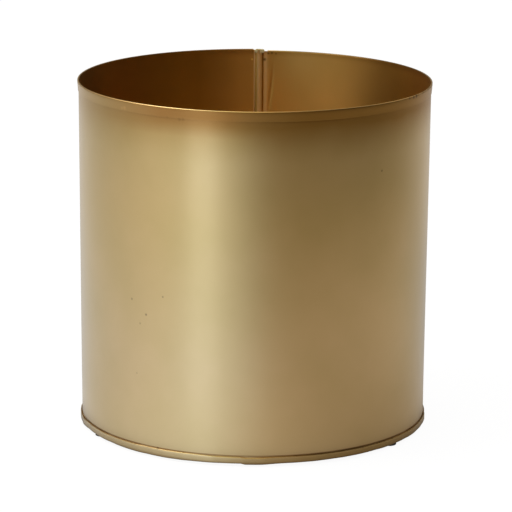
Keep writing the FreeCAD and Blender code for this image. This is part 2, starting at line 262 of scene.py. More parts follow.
def thick_sheet(name, points, quads, extra_faces=()):
    """A piece of sheet, as an object: quads of its middle surface, thickened evenly to both sides."""
    used = np.unique(np.concatenate([quads.ravel(), *[np.array(f) for f in extra_faces]]).astype(int))
    number = np.zeros(len(points), int)
    number[used] = np.arange(len(used))
    faces = [tuple(int(number[v]) for v in f) for f in [*quads.tolist(), *extra_faces]]
    mesh = bpy.data.meshes.new(name)
    mesh.from_pydata(points[used].tolist(), [], faces)
    middle = bpy.data.objects.new(name, mesh)
    bpy.context.scene.collection.objects.link(middle)
    solidify = middle.modifiers.new("thickness", "SOLIDIFY")
    solidify.thickness = SHEET
    solidify.offset = 0
    solidify.use_even_offset = True
    solidify.use_quality_normals = True
    graph = bpy.context.evaluated_depsgraph_get()
    middle.data = bpy.data.meshes.new_from_object(middle.evaluated_get(graph))
    middle.modifiers.clear()
    finish_mesh(middle)
    return middle


def finish_mesh(piece):
    """Smooth shading, broken only at the sheet's cut edges."""
    piece.data.validate()
    piece.data.shade_smooth()
    piece.data.set_sharp_from_angle(angle=math.radians(SHARP_ANGLE))


def wall_columns():
    """Angles from +Y of the wall's columns and their depths in it, and which of them are whole."""
    right = right_hook()
    left = left_hook()
    start = RIGHT_RUN / FOOT_RADIUS
    end = 2 * math.pi - LEFT_RUN / FOOT_RADIUS
    beside = start + FINE_REACH / FOOT_RADIUS
    fine = np.linspace(start, beside, FINE_COLUMNS)[:-1]
    around = np.concatenate([fine, np.linspace(beside, end, COLUMNS + 1)])
    angles = np.concatenate([right.real / FOOT_RADIUS, around, 2 * math.pi + left.real / FOOT_RADIUS])
    depths = np.concatenate([right.imag, np.full(len(around), SHEET / 2), left.imag])
    whole = np.repeat([False, True, False], [len(right), len(around), len(left)])
    return angles, depths, whole


def wall_piece():
    """The rolled sheet with its hem, foot flange and hooked edges."""
    angles, depths, whole = wall_columns()
    grid = []
    for angle, depth, is_whole in zip(angles, depths, whole):
        profile, foot_rows = full_profile(angle)
        radii, levels = profile.real.copy(), profile.imag.copy()
        if not is_whole:
            radii = wall_radius(levels) - depth
            levels[foot_rows - 1] = SEAM_FOOT_LEVEL
        levels = levels - rim_drop(angle, levels)
        grid.append(spun(angle, radii + out_of_round(signed(angle), levels), levels))
    grid = np.array(grid)
    columns, rows = grid.shape[:2]
    wall_rows = range(foot_rows, foot_rows + len(wall_levels()) - 1)
    quads = []
    for c in range(columns - 1):
        for r in range(rows - 1):
            both_whole = whole[c] and whole[c + 1]
            hook_foot = r == foot_rows - 1 and not (whole[c] or whole[c + 1])
            if both_whole or r in wall_rows or hook_foot:
                corner = c * rows + r
                quads.append((corner, corner + rows, corner + rows + 1, corner + 1))
    piece = thick_sheet("wall", grid.reshape(-1, 3), np.array(quads))
    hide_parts("wall_sheet")
    return piece


def signed(angle):
    """The same angle between minus and plus half a turn."""
    return (angle + math.pi) % (2 * math.pi) - math.pi


# The foot seam's band: waves of its height, and of how far it stands out. Its lower edge droops between two
# angles, in degrees from +Y towards +X, with soft ends of this many degrees to both sides, and draws this
# much of the disc down with it. Each kink is how far the whole band is pressed down, and over which degrees
# that begins and ends.
BAND_WAVES = [(3, 0.00012, 80), (7, 0.00010, 10), (12, 0.00007, 200), (19, 0.00005, 300)]
BAND_DENTS = [(23, 0.00012, 20), (41, 0.00007, 130), (67, 0.00004, 250)]
BAND_DROOP = 0.0007
BAND_DROOP_FROM = 195
BAND_DROOP_TO = 230
BAND_DROOP_EDGE = 14
BAND_DROOP_REACH = 0.010
BAND_KINKS = [(0.0007, (168, 178), (180.9, 182.1)), (0.0009, (247, 257), (300, 330))]

# The disc: how far it bows up in the middle, over which share of its radius, the radius of the flat core and
# the rows round it.
DISC_BOW = 0.00025
DISC_BOW_SHARE = 0.8
DISC_CORE = 0.004
DISC_ROWS = 28


def base_profile(angle):
    """Middle line of the base disc from its core to the end of its hook."""
    corner = complex(FOOT_RADIUS + SHEET / 2 + LAP, FOOT_FOLD_LEVEL)
    level = BASE_LEVEL + SHEET / 2
    dent = waved(angle, BAND_DENTS)
    fold = complex(FOOT_RADIUS + 1.5 * SHEET + 2 * LAP + dent, band_fold_level(angle))
    degrees = math.degrees(angle)
    droop = band_kink(degrees) + band_droop(degrees)
    corner += dent - 1j * droop
    radii = np.linspace(DISC_CORE, corner.real, DISC_ROWS)[:-1]
    bow = DISC_BOW * (1 - smooth_step(radii, 0, DISC_BOW_SHARE * FOOT_RADIUS))
    hang = droop * smooth_step(radii, FOOT_RADIUS - BAND_DROOP_REACH, FOOT_RADIUS)
    corner_radius = 2 * LAYER
    return np.concatenate([
        radii + 1j * (level + bow - hang),
        arc(corner, corner_radius, -90, 0),
        run(corner + corner_radius, fold + LAYER, steps=4),
        arc(fold, LAYER, 0, 180),
        run(fold - LAYER, complex(fold.real - LAYER, FOOT_FOLD_LEVEL), steps=3),
        [complex(fold.real - LAYER - dent, FOOT_FOLD_LEVEL)],
    ])


def band_droop(degrees):
    """How far the band's lower edge hangs at an angle, at the front left."""
    start = smooth_step(degrees, BAND_DROOP_FROM - BAND_DROOP_EDGE, BAND_DROOP_FROM + BAND_DROOP_EDGE)
    end = smooth_step(degrees, BAND_DROOP_TO - BAND_DROOP_EDGE, BAND_DROOP_TO + BAND_DROOP_EDGE)
    return BAND_DROOP * start * (1 - end)


def band_kink(degrees):
    """How far the whole band is pressed down at an angle: a step at the front, and the far left."""
    return sum(
        depth * smooth_step(degrees, *start) * (1 - smooth_step(degrees, *end))
        for depth, start, end in BAND_KINKS
    )


def band_fold_level(angle):
    """Level of the fold at the band's top, whose height was dressed by hand."""
    return BAND_FOLD_LEVEL - abs(waved(angle, BAND_WAVES)) - band_kink(math.degrees(angle) % 360)


def base_piece():
    """The base disc, turned up into the band at the foot."""
    angles = np.linspace(0, 2 * math.pi, COLUMNS, endpoint=False)
    profiles = [base_profile(angle) for angle in angles]
    grid = np.array([spun(angle, line.real, line.imag) for angle, line in zip(angles, profiles)])
    rows = grid.shape[1]
    quads = []
    for c in range(COLUMNS):
        follower = (c + 1) % COLUMNS
        for r in range(rows - 1):
            quads.append((c * rows + r, c * rows + r + 1, follower * rows + r + 1, follower * rows + r))
    core = tuple(c * rows for c in range(COLUMNS))
    piece = thick_sheet("base", grid.reshape(-1, 3), np.array(quads), [core])
    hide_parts("base_disc")
    return piece


# The tack: its middle along the wall, how far it rises over the rim, its half sizes, how it is divided, how
# blunt its ends and its section are, and its lumps, each a height and its waves along and round it.
TACK_MIDDLE = 0.0001
TACK_RISE = 0.0007
TACK_HALF_WIDTH = 0.0038
TACK_HALF_DEPTH = 0.00105
TACK_HALF_HEIGHT = 0.0017
TACK_STATIONS = 17
TACK_SIDES = 24
TACK_END = 0.995
TACK_END_POWER = 5
TACK_SECTION_POWER = 0.6
TACK_LUMPS = [(0.05, 5, 2), (0.03, 11, -3)]


def blunted(value):
    """A sine or cosine that makes a rounded square of a circle."""
    return math.copysign(abs(value) ** TACK_SECTION_POWER, value)


def tack_piece():
    """The solder tack: a lump drawn over the top end of the lock seam."""
    middle_depth = (4 * SHEET + 3 * LAP) / 2
    middle_level = RIM_LEVEL + TACK_RISE - TACK_HALF_HEIGHT
    points = []
    for share in np.sin(np.linspace(-math.pi / 2, math.pi / 2, TACK_STATIONS)):
        size = (1 - min(abs(share), TACK_END) ** TACK_END_POWER) ** 0.5
        for side in np.linspace(0, 2 * math.pi, TACK_SIDES, endpoint=False):
            across, up = (blunted(turn(side)) for turn in (math.cos, math.sin))
            lump = sum((h * math.sin(along * share + about * side) for h, along, about in TACK_LUMPS), 1)
            radius = TOP_RADIUS - middle_depth + TACK_HALF_DEPTH * across * size * lump
            level = middle_level + TACK_HALF_HEIGHT * up * size * min(lump, 1)
            points.append(spun((TACK_MIDDLE + TACK_HALF_WIDTH * share) / TOP_RADIUS, radius, level))
    faces = [tuple(range(TACK_SIDES)), tuple(reversed(range(len(points) - TACK_SIDES, len(points))))]
    for s in range(TACK_STATIONS - 1):
        for k in range(TACK_SIDES):
            follower = (k + 1) % TACK_SIDES
            first, second = s * TACK_SIDES, (s + 1) * TACK_SIDES
            faces.append((first + follower, first + k, second + k, second + follower))
    mesh = bpy.data.meshes.new("solder_tack")
    mesh.from_pydata([tuple(p) for p in points], [], faces)
    piece = bpy.data.objects.new("solder_tack", mesh)
    bpy.context.scene.collection.objects.link(piece)
    finish_mesh(piece)
    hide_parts("seam_solder")
    return piece


def new_material(name, **sockets):
    """A material with its shader, whose plain sockets are set by name."""
    material = bpy.data.materials.new(name)
    material.use_nodes = True
    shader = material.node_tree.nodes["Principled BSDF"]
    for socket, value in sockets.items():
        shader.inputs[socket.replace("_", " ")].default_value = value
    return material, material.node_tree, shader


# What use and dirt have done to the brass: tones that its colour is multiplied by, and the places where they
# lie. A place is ranges along X (to the pot's right), Y (to its back) and Z (up), in metres: from where there
# is none of the tone to where there is all of it.

# The inside and underside are redder and darker. The inside has painted shade at the left and, less, at
# the right, and painted light low down at the back right. It is darker just under the rim, but not at the
# left.
INSIDE_TONE = (1.19, 0.95, 0.53)
INSIDE_PAINTED_SHADE = (0.63, 0.58, 0.40)
INSIDE_SHADE_LEFT_PLACE = [("X", -0.015, -0.045)]
INSIDE_SHADE_RIGHT_PLACE = [("X", 0.05, 0.09)]
INSIDE_SHADE_RIGHT_SHARE = 0.3
INSIDE_PAINTED_LIGHT = (1.24, 1.14, 1.10)
INSIDE_PAINTED_LIGHT_PLACE = [("Z", 0.240, 0.212), ("Y", 0.02, 0.06), ("X", 0.0, 0.012), ("X", 0.085, 0.05)]
INNER_RIM_BAND_PLACE = [("X", -0.045, -0.02)]

# The outside has painted shade below the rim, less at the left, and with a patchy edge. The hem has more
# painted shade at the left, and less of the painted highlight and shadow lines along its edge shows there.
# The outside is yellower towards the rim. The band at the foot has painted shade at the right.
RIM_SHADE = (0.66, 0.50, 0.30)
RIM_SHADE_DEPTH = 0.034
RIM_SHADE_POWER = 1.5
RIM_SHADE_PATCHES = 0.008
RIM_SHADE_LEFT = 0.5
RIM_SHADE_SIDES = (-0.10, 0.04)
HEM_PAINTED_SHADE = (0.77, 0.61, 0.48)
HEM_PAINTED_SHADE_PLACE = [
    ("Z", HEM_EDGE_LEVEL - 0.012, HEM_EDGE_LEVEL + 0.002), ("X", -0.106, -0.060), ("X", 0.024, -0.012),
]
HEM_LINES_LEFT = 0.1
HEM_LINES_SIDES = (-0.06, 0.03)
TOP_TINT = (1.0, 0.985, 0.84)
TOP_TINT_PLACE = [("Z", 0.07, 0.17)]
BAND_SHADE = (0.74, 0.68, 0.52)
BAND_SHADE_PLACE = [("X", -0.02, 0.04)]

# The rim's top has a painted highlight, with painted shade over it at the back, on both sides of the seam.
RIM_PAINTED_HIGHLIGHT = (1.55, 1.58, 1.70)
RIM_BACK_PAINTED_SHADES = [
    ((0.42, 0.36, 0.28), [("Y", 0, 0.05), ("X", 0, -0.006)]),
    ((0.20, 0.17, 0.11), [("Y", 0, 0.05), ("X", 0.006, 0.03)]),
]

# How light the sheet is across its edges and folds, at places in millimetres: across the lock seam, inside,
# with painted highlights on its flank, its ridge and the wall beside it, and painted shadows in its creases,
# from the seam's middle along the wall. Then, by height, outside across the hem's edge, with a painted
# highlight line over a painted shadow line, and across the top of the foot's band, with a painted shadow in
# the crease, a painted highlight on the band's top and painted shade at its lower edge, and inside, darker
# under the rim. A ramp holds them as shares of the lightest. Powers of them, for red, green and blue, make
# what is darker also browner.
SEAM_PAINTED_LIGHT_TONES = [
    (-8.0, 1.00), (-4.5, 1.00), (-3.7, 1.42), (-3.0, 1.20), (-2.5, 0.90), (-1.8, 1.10), (-1.0, 1.42),
    (0.6, 1.42), (1.7, 1.30), (2.3, 0.70), (2.9, 0.68), (3.5, 1.36), (5.0, 1.38), (6.4, 1.12), (8.0, 1.00),
]
HEM_PAINTED_LIGHT_TONES = [
    (-2.5, 1.00), (-1.3, 0.94), (-0.6, 0.80), (-0.1, 0.88), (0.3, 1.08), (0.8, 0.96), (1.6, 0.92),
    (2.5, 0.90),
]
FOOT_PAINTED_LIGHT_TONES = [
    (-5.5, 0.50), (-4.6, 0.60), (-3.4, 0.90), (-1.6, 0.97), (-0.8, 1.15), (-0.3, 1.05), (0.1, 0.60),
    (0.45, 0.38), (0.7, 0.70), (1.0, 0.97), (5.5, 1.00),
]
INNER_RIM_BAND_TONES = [(-6.0, 1.00), (-4.2, 0.95), (-2.8, 0.86), (-1.5, 0.76), (0.0, 0.72), (6.0, 0.72)]
LIGHTEST = 3.0
SEAM_POWERS = (1.0, 1.5, 3.2)
EDGE_POWERS = (1.0, 1.25, 1.6)

# These lines aren't quite straight: how fine their wandering is, and how wide, in metres.
SEAM_WANDER = (90, 0.0006)
HEM_WANDER = (25, 0.0012)
FOOT_WANDER = (25, 0.0003)
INNER_RIM_BAND_WANDER = (25, 0.0015)

# Specks on the sheet: the angle from the front towards the right in degrees, the level and the radius in
# metres, and how dark each is. The glints are the same, but light. Each is whole within the core's share of
# its radius, and gone beyond the blur's.
SPECKS = [
    (-41.0, 0.1099, 0.0007, 0.45), (-28.5, 0.1154, 0.0006, 0.50), (-35.0, 0.1009, 0.0007, 0.60),
    (-37.5, 0.0939, 0.0006, 0.35), (-39.0, 0.0579, 0.0005, 0.35), (46.0, 0.2003, 0.0007, 0.50),
    (64.2, 0.2463, 0.0011, 0.75), (62.2, 0.2461, 0.0010, 0.65), (-30.5, 0.0068, 0.0010, 0.60),
    (59.5, 0.2464, 0.0008, 0.50), (-26.5, 0.2402, 0.0010, 0.12), (-22.4, 0.2398, 0.0011, 0.20),
    (-21.2, 0.2399, 0.0011, 0.18),
]
INNER_SPECKS = [
    (178.2, 0.2400, 0.0010, 0.70), (176.9, 0.2446, 0.0007, 0.65), (175.7, 0.2449, 0.0008, 0.55),
    (174.3, 0.2445, 0.0007, 0.50),
]
GLINTS = [(-43.4, 0.2425, 0.0012, 0.12), (-44.6, 0.2421, 0.0009, 0.10)]
INNER_GLINTS = [(182.5, 0.2400, 0.0006, 0.8)]
SPECK_TONE = (0.1, 0.08, 0.06)
GLINT_TONE = (2.6, 2.4, 2.4)
SPECK_CORE = 0.4
SPECK_BLUR = 1.6

# How the outside, the rim's top and the wall above the disc are told apart: by which way the sheet faces
# and where it is.
OUTWARD_FACING = (-0.3, 0)
UPWARD_FACING = (0.15, 0.5)
RIM_TOP_FROM = SEAM_TOP_LEVEL - 0.002
WALL_FROM = BASE_LEVEL + 4 * SHEET

# The grain: how fine the clouds in the colour, the gaps in the hem edge's painted lines, the patches of the
# rim's painted shade and the brush lines are, how many times these are stretched round the pot and across it,
# and how they show.
CLOUD_SCALE = 20
GAP_SCALE = 12
GAP_EDGE = (0.4, 0.6)
PATCH_SCALE = 30
STREAK_SCALE = 5
STRETCH_ROUND = 6
STRETCH_ACROSS = 900
STREAK_ROUGHNESS = 0.03
STREAK_DEPTH = 0.0001
STREAK_STRENGTH = 0.15


def feed(tree, socket, value):
    """Links a socket to another one, or sets it to a plain value."""
    if isinstance(value, bpy.types.NodeSocket):
        tree.links.new(value, socket)
    else:
        socket.default_value = value


def calculated(tree, operation, *values):
    """The result of a calculation with sockets or plain numbers."""
    node = tree.nodes.new("ShaderNodeMath")
    node.operation = operation
    for socket, value in zip(node.inputs, values):
        feed(tree, socket, value)
    return node.outputs[0]


def product(tree, first, *others):
    """The product of sockets or plain numbers."""
    for other in others:
        first = calculated(tree, "MULTIPLY", first, other)
    return first


def vector_result(tree, operation, *values, output="Vector"):
    """The result of a calculation with vectors."""
    node = tree.nodes.new("ShaderNodeVectorMath")
    node.operation = operation
    for socket, value in zip(node.inputs, values):
        feed(tree, socket, value)
    return node.outputs[output]


def coordinates(tree, vector):
    """The coordinates X, Y and Z of a vector."""
    split = tree.nodes.new("ShaderNodeSeparateXYZ")
    tree.links.new(vector, split.inputs[0])
    return split.outputs


def spread(tree, value, low, high, start=0.3, end=0.7):
    """A value from start to end, spread from low to high."""
    node = tree.nodes.new("ShaderNodeMapRange")
    for socket, number in (("From Min", start), ("From Max", end), ("To Min", low), ("To Max", high)):
        node.inputs[socket].default_value = number
    tree.links.new(value, node.inputs["Value"])
    return node.outputs["Result"]


def noise(tree, vector, scale, detail=2.0):
    """Grey clouds, 0 to 1."""
    node = tree.nodes.new("ShaderNodeTexNoise")
    node.inputs["Scale"].default_value = scale
    node.inputs["Detail"].default_value = detail
    tree.links.new(vector, node.inputs["Vector"])
    return node.outputs["Fac"]


def mixed(tree, share, first, second, blend="MIX"):
    """A blend of two colours by a share."""
    node = tree.nodes.new("ShaderNodeMix")
    node.data_type = "RGBA"
    node.blend_type = blend
    for name, value in (("Factor", share), ("A", first), ("B", second)):
        feed(tree, node.inputs[name], value)
    return node.outputs["Result"]


def two_tones(tree, share, tones):
    """A colour between two tones."""
    return mixed(tree, spread(tree, share, 0, 1), *((*tone, 1) for tone in tones))


def toned(tree, colour, share, tone):
    """A colour multiplied by a plain tone or by another colour, by a share."""
    if not isinstance(tone, bpy.types.NodeSocket):
        tone = (*tone, 1)
    return mixed(tree, share, colour, tone, "MULTIPLY")


def bumped(tree, shader, height, distance, strength):
    """Gives a shader the relief of a height."""
    bump = tree.nodes.new("ShaderNodeBump")
    bump.inputs["Strength"].default_value = strength
    bump.inputs["Distance"].default_value = distance
    tree.links.new(height, bump.inputs["Height"])
    tree.links.new(bump.outputs["Normal"], shader.inputs["Normal"])


def faces_out(tree, position):
    """1 on the pot's outside, 0 inside it and underneath."""
    facing = tree.nodes.new("ShaderNodeNewGeometry").outputs["Normal"]
    flat = vector_result(tree, "MULTIPLY", position, (1, 1, 0))
    outward = vector_result(tree, "NORMALIZE", flat)
    towards = vector_result(tree, "DOT_PRODUCT", outward, facing, output="Value")
    level = coordinates(tree, position)["Z"]
    wall = spread(tree, level, FOOT_RADIUS, TOP_RADIUS, CREASE_LEVEL, HEM_EDGE_LEVEL)
    radius = vector_result(tree, "LENGTH", flat, output="Value")
    beyond = calculated(tree, "GREATER_THAN", radius, calculated(tree, "SUBTRACT", wall, SHEET + LAP / 2))
    return product(tree, spread(tree, towards, 0, 1, *OUTWARD_FACING), beyond)


def rim_top(tree, position):
    """1 on the top of the rim, 0 elsewhere."""
    facing = coordinates(tree, tree.nodes.new("ShaderNodeNewGeometry").outputs["Normal"])["Z"]
    high = calculated(tree, "GREATER_THAN", coordinates(tree, position)["Z"], RIM_TOP_FROM)
    return product(tree, spread(tree, facing, 0, 1, *UPWARD_FACING), high)


def under_rim(tree, position):
    """How much of the rim's shade lies at a place: 1 at the hem, 0 below its reach."""
    place = coordinates(tree, position)
    patchy = product(tree, noise(tree, position, PATCH_SCALE), RIM_SHADE_PATCHES)
    level = calculated(tree, "ADD", place["Z"], patchy)
    depth = spread(tree, level, 0, 1, RIM_LEVEL - RIM_SHADE_DEPTH, HEM_EDGE_LEVEL)
    weaker = spread(tree, place["X"], RIM_SHADE_LEFT, 1, *RIM_SHADE_SIDES)
    return product(tree, calculated(tree, "POWER", depth, RIM_SHADE_POWER), weaker)


def within(tree, position, place):
    """How much of a tone lies at a position, by the ranges of the tone's place."""
    at = coordinates(tree, position)
    return product(tree, *(spread(tree, at[axis], 0, 1, none, full) for axis, none, full in place))


def tone_across(tree, place, stops, powers):
    """How light the sheet is at a place, over stops in millimetres, with a power for each colour."""
    reach = stops[-1][0]
    ramp = tree.nodes.new("ShaderNodeValToRGB")
    elements = ramp.color_ramp.elements
    while len(elements) < len(stops):
        elements.new(0.5)
    for element, (at, light) in zip(elements, stops):
        element.position = (at + reach) / (2 * reach)
        element.color = (*(light**power / LIGHTEST for power in powers), 1)
    tree.links.new(spread(tree, place, 0, 1, -reach / 1000, reach / 1000), ramp.inputs["Fac"])
    return vector_result(tree, "MULTIPLY", ramp.outputs["Color"], (LIGHTEST,) * 3)


def wandered(tree, position, place, wander):
    """A place, pushed to and fro by clouds."""
    scale, swing = wander
    share = calculated(tree, "SUBTRACT", noise(tree, position, scale), 0.5)
    return calculated(tree, "ADD", place, product(tree, share, swing))


def seam_painted_light(tree, position):
    """How light the sheet is across the lock seam: its painted highlights and shadows."""
    place = coordinates(tree, position)
    along = product(tree, calculated(tree, "ARCTAN2", place["X"], place["Y"]), TOP_RADIUS)
    return tone_across(tree, wandered(tree, position, along, SEAM_WANDER), SEAM_PAINTED_LIGHT_TONES, SEAM_POWERS)


def level_tone(tree, position, level, stops, wander):
    """How light the sheet is above and below a level."""
    above = calculated(tree, "SUBTRACT", coordinates(tree, position)["Z"], level)
    return tone_across(tree, wandered(tree, position, above, wander), stops, EDGE_POWERS)


def specked(tree, position, specks, inner):
    """How much of their tone the specks leave at a place on the sheet's outer or inner face."""
    spots = []
    for angle, level, radius, depth in specks:
        turned = math.radians(angle)
        reach = float(wall_radius(level))
        if inner:
            reach -= SHEET
        elif level > HEM_EDGE_LEVEL:
            reach += HEM_GAP + SHEET
        middle = (reach * math.sin(turned), -reach * math.cos(turned), level)
        away = vector_result(tree, "DISTANCE", position, middle, output="Value")
        spots.append(spread(tree, away, depth, 0, SPECK_CORE * radius, SPECK_BLUR * radius))
    share = spots[0]
    for spot in spots[1:]:
        share = calculated(tree, "MAXIMUM", share, spot)
    return share


def inside_colour(tree, position, colour, inside):
    """The inside's colour: own tone, painted light and shade at the seam, sides and back, darker under the
    rim.
    """
    colour = toned(tree, colour, inside, INSIDE_TONE)
    above_disc = calculated(tree, "GREATER_THAN", coordinates(tree, position)["Z"], WALL_FROM)
    # Painted highlights and shadows across the lock seam, inside.
    colour = toned(tree, colour, product(tree, inside, above_disc), seam_painted_light(tree, position))
    # Painted shade on the inside at the left and, less, at the right.
    right = product(tree, within(tree, position, INSIDE_SHADE_RIGHT_PLACE), INSIDE_SHADE_RIGHT_SHARE)
    sides = calculated(tree, "MAXIMUM", within(tree, position, INSIDE_SHADE_LEFT_PLACE), right)
    colour = toned(tree, colour, product(tree, inside, sides), INSIDE_PAINTED_SHADE)
    # Painted light low down at the back right of the inside.
    lighter = product(tree, inside, within(tree, position, INSIDE_PAINTED_LIGHT_PLACE))
    colour = toned(tree, colour, lighter, INSIDE_PAINTED_LIGHT)
    # Darker just under the rim inside, but not at the left.
    inner_rim_band = product(tree, inside, within(tree, position, INNER_RIM_BAND_PLACE))
    return toned(tree, colour, inner_rim_band, level_tone(tree, position, RIM_LEVEL, INNER_RIM_BAND_TONES, INNER_RIM_BAND_WANDER))


def outside_colour(tree, position, colour, outside, kept):
    """The outside's colour: painted light and shade at the hem and the foot's band, and a tint towards the
    rim.
    """
    place = coordinates(tree, position)
    # Broken painted highlight and shadow lines along the hem's edge, fewer at the left.
    gaps = spread(tree, noise(tree, position, GAP_SCALE), 0, 1, *GAP_EDGE)
    hem_lines = product(tree, gaps, outside, spread(tree, place["X"], HEM_LINES_LEFT, 1, *HEM_LINES_SIDES))
    colour = toned(tree, colour, hem_lines, level_tone(tree, position, HEM_EDGE_LEVEL, HEM_PAINTED_LIGHT_TONES, HEM_WANDER))
    # Painted shadow in the crease above the foot's band, painted highlight on its top, painted shade at its
    # lower edge.
    colour = toned(tree, colour, outside, level_tone(tree, position, BAND_LEVEL, FOOT_PAINTED_LIGHT_TONES, FOOT_WANDER))
    # Painted shade on the band at the foot, at the right.
    on_band = calculated(tree, "LESS_THAN", place["Z"], BAND_LEVEL)
    band_shaded = product(tree, on_band, outside, within(tree, position, BAND_SHADE_PLACE))
    colour = toned(tree, colour, band_shaded, BAND_SHADE)
    # Yellower towards the rim.
    colour = toned(tree, colour, product(tree, outside, within(tree, position, TOP_TINT_PLACE)), TOP_TINT)
    # More painted shade on the hem, left of the middle.
    hem_shaded = product(tree, within(tree, position, HEM_PAINTED_SHADE_PLACE), product(tree, outside, kept))
    return toned(tree, colour, hem_shaded, HEM_PAINTED_SHADE)


def rim_colour(tree, position, colour, rim_topside):
    """The colour with what the rim's top has: a painted highlight and, at the back, painted shade."""
    colour = toned(tree, colour, rim_topside, RIM_PAINTED_HIGHLIGHT)
    # Painted shade over the rim's top at the back, on both sides of the seam.
    for tone, place in RIM_BACK_PAINTED_SHADES:
        colour = toned(tree, colour, product(tree, rim_topside, within(tree, position, place)), tone)
    return colour


def speckled_colour(tree, position, colour, outside, inside):
    """The colour with its specks and glints."""
    for side, inner, specks, tone in (
        (outside, False, SPECKS, SPECK_TONE), (inside, True, INNER_SPECKS, SPECK_TONE),
        (outside, False, GLINTS, GLINT_TONE), (inside, True, INNER_GLINTS, GLINT_TONE),
    ):
        colour = toned(tree, colour, product(tree, side, specked(tree, position, specks, inner)), tone)
    return colour


def brass_material(name, tones, roughness, coat):
    """Brass in clouds of two tones, brushed round the pot, lacquered but inside and under the painted rim
    shade.
    """
    material, tree, shader = new_material(
        name, Metallic=1.0, Anisotropic=0.75, Anisotropic_Rotation=0.25, Coat_Roughness=0.25,
    )
    position = tree.nodes.new("ShaderNodeTexCoord").outputs["Object"]
    outside = faces_out(tree, position)
    rim_topside = rim_top(tree, position)
    kept = calculated(tree, "SUBTRACT", 1, rim_topside)
    inside = product(tree, calculated(tree, "SUBTRACT", 1, outside), kept)
    shaded = product(tree, under_rim(tree, position), product(tree, outside, kept))

    colour = two_tones(tree, noise(tree, position, CLOUD_SCALE, detail=3), tones)
    colour = toned(tree, colour, shaded, RIM_SHADE)
    colour = inside_colour(tree, position, colour, inside)
    colour = outside_colour(tree, position, colour, outside, kept)
    colour = rim_colour(tree, position, colour, rim_topside)
    colour = speckled_colour(tree, position, colour, outside, inside)
    tree.links.new(colour, shader.inputs["Base Color"])
    # The coat is left off inside and under the rim's painted shade.
    uncoated = calculated(tree, "MAXIMUM", shaded, inside)
    tree.links.new(spread(tree, uncoated, coat, 0, 0, 1), shader.inputs["Coat Weight"])

    streaks = noise(tree, brush_coordinates(tree, position), STREAK_SCALE, detail=6)
    rough = spread(tree, streaks, roughness - STREAK_ROUGHNESS, roughness + STREAK_ROUGHNESS)
    tree.links.new(rough, shader.inputs["Roughness"])
    bumped(tree, shader, streaks, distance=STREAK_DEPTH, strength=STREAK_STRENGTH)
    tangent = tree.nodes.new("ShaderNodeTangent")
    tangent.direction_type = "RADIAL"
    tangent.axis = "Z"
    tree.links.new(tangent.outputs["Tangent"], shader.inputs["Tangent"])
    return material


def turned_from_front(tree, place):
    """The angle of a place or direction round the pot, from the front towards the right."""
    return calculated(tree, "ARCTAN2", place["X"], product(tree, place["Y"], -1))


def brush_coordinates(tree, position):
    """Coordinates for brush lines, which run round the wall and round the disc: the angle, hardly stretched,
    and the level and radius together, much. The lines begin and end at the lock seam."""
    place = coordinates(tree, position)
    flat = vector_result(tree, "MULTIPLY", position, (1, 1, 0))
    radius = vector_result(tree, "LENGTH", flat, output="Value")
    joined = tree.nodes.new("ShaderNodeCombineXYZ")
    tree.links.new(product(tree, turned_from_front(tree, place), STRETCH_ROUND), joined.inputs["X"])
    across = calculated(tree, "ADD", place["Z"], radius)
    tree.links.new(product(tree, across, STRETCH_ACROSS), joined.inputs["Y"])
    return joined.outputs[0]


def plain_grain(name, tones, scale, depth, **sockets):
    """A material in two tones with a fine grain, for the small parts."""
    material, tree, shader = new_material(name, **sockets)
    position = tree.nodes.new("ShaderNodeTexCoord").outputs["Object"]
    grain = noise(tree, position, scale, detail=4)
    tree.links.new(two_tones(tree, grain, tones), shader.inputs["Base Color"])
    bumped(tree, shader, grain, distance=depth, strength=0.5)
    return material


def dress(piece, material):
    """Gives a piece its only material."""
    piece.data.materials.clear()
    piece.data.materials.append(material)


# The camera, fitted to the photograph's rim and foot: its distance in metres from the pot's middle, its
# angles in degrees, its focal length in widths of the picture, how far right of and below the pot's middle
# it aims, and its sensor's width in millimetres.
CAMERA_DISTANCE = 2.1876
CAMERA_ELEVATION = 13.284
CAMERA_AZIMUTH = 1.5
CAMERA_ROLL = 0.4
FOCAL_WIDTHS = 5.9864
AIM_RIGHT = 0.00165
AIM_BELOW = 0.00553
SENSOR_WIDTH = 36


def add_camera():
    """The camera at the photograph's place."""
    data = bpy.data.cameras.new("camera")
    data.sensor_width = SENSOR_WIDTH
    data.lens = FOCAL_WIDTHS * SENSOR_WIDTH
    camera = bpy.data.objects.new("camera", data)
    bpy.context.scene.collection.objects.link(camera)
    azimuth = math.radians(CAMERA_AZIMUTH)
    elevation = math.radians(CAMERA_ELEVATION)
    back = Vector((
        math.sin(azimuth) * math.cos(elevation),
        -math.cos(azimuth) * math.cos(elevation),
        math.sin(elevation),
    ))
    right = Vector((math.cos(azimuth), math.sin(azimuth), 0))
    middle = Vector((0, 0, (BASE_LEVEL + RIM_LEVEL) / 2))
    aim = middle + right * AIM_RIGHT - back.cross(right) * AIM_BELOW
    camera.location = middle + back * CAMERA_DISTANCE
    looking = (aim - camera.location).to_track_quat("-Z", "Y").to_euler()
    camera.rotation_euler = looking
    camera.rotation_euler.rotate_axis("Z", math.radians(CAMERA_ROLL))
    bpy.context.scene.camera = camera


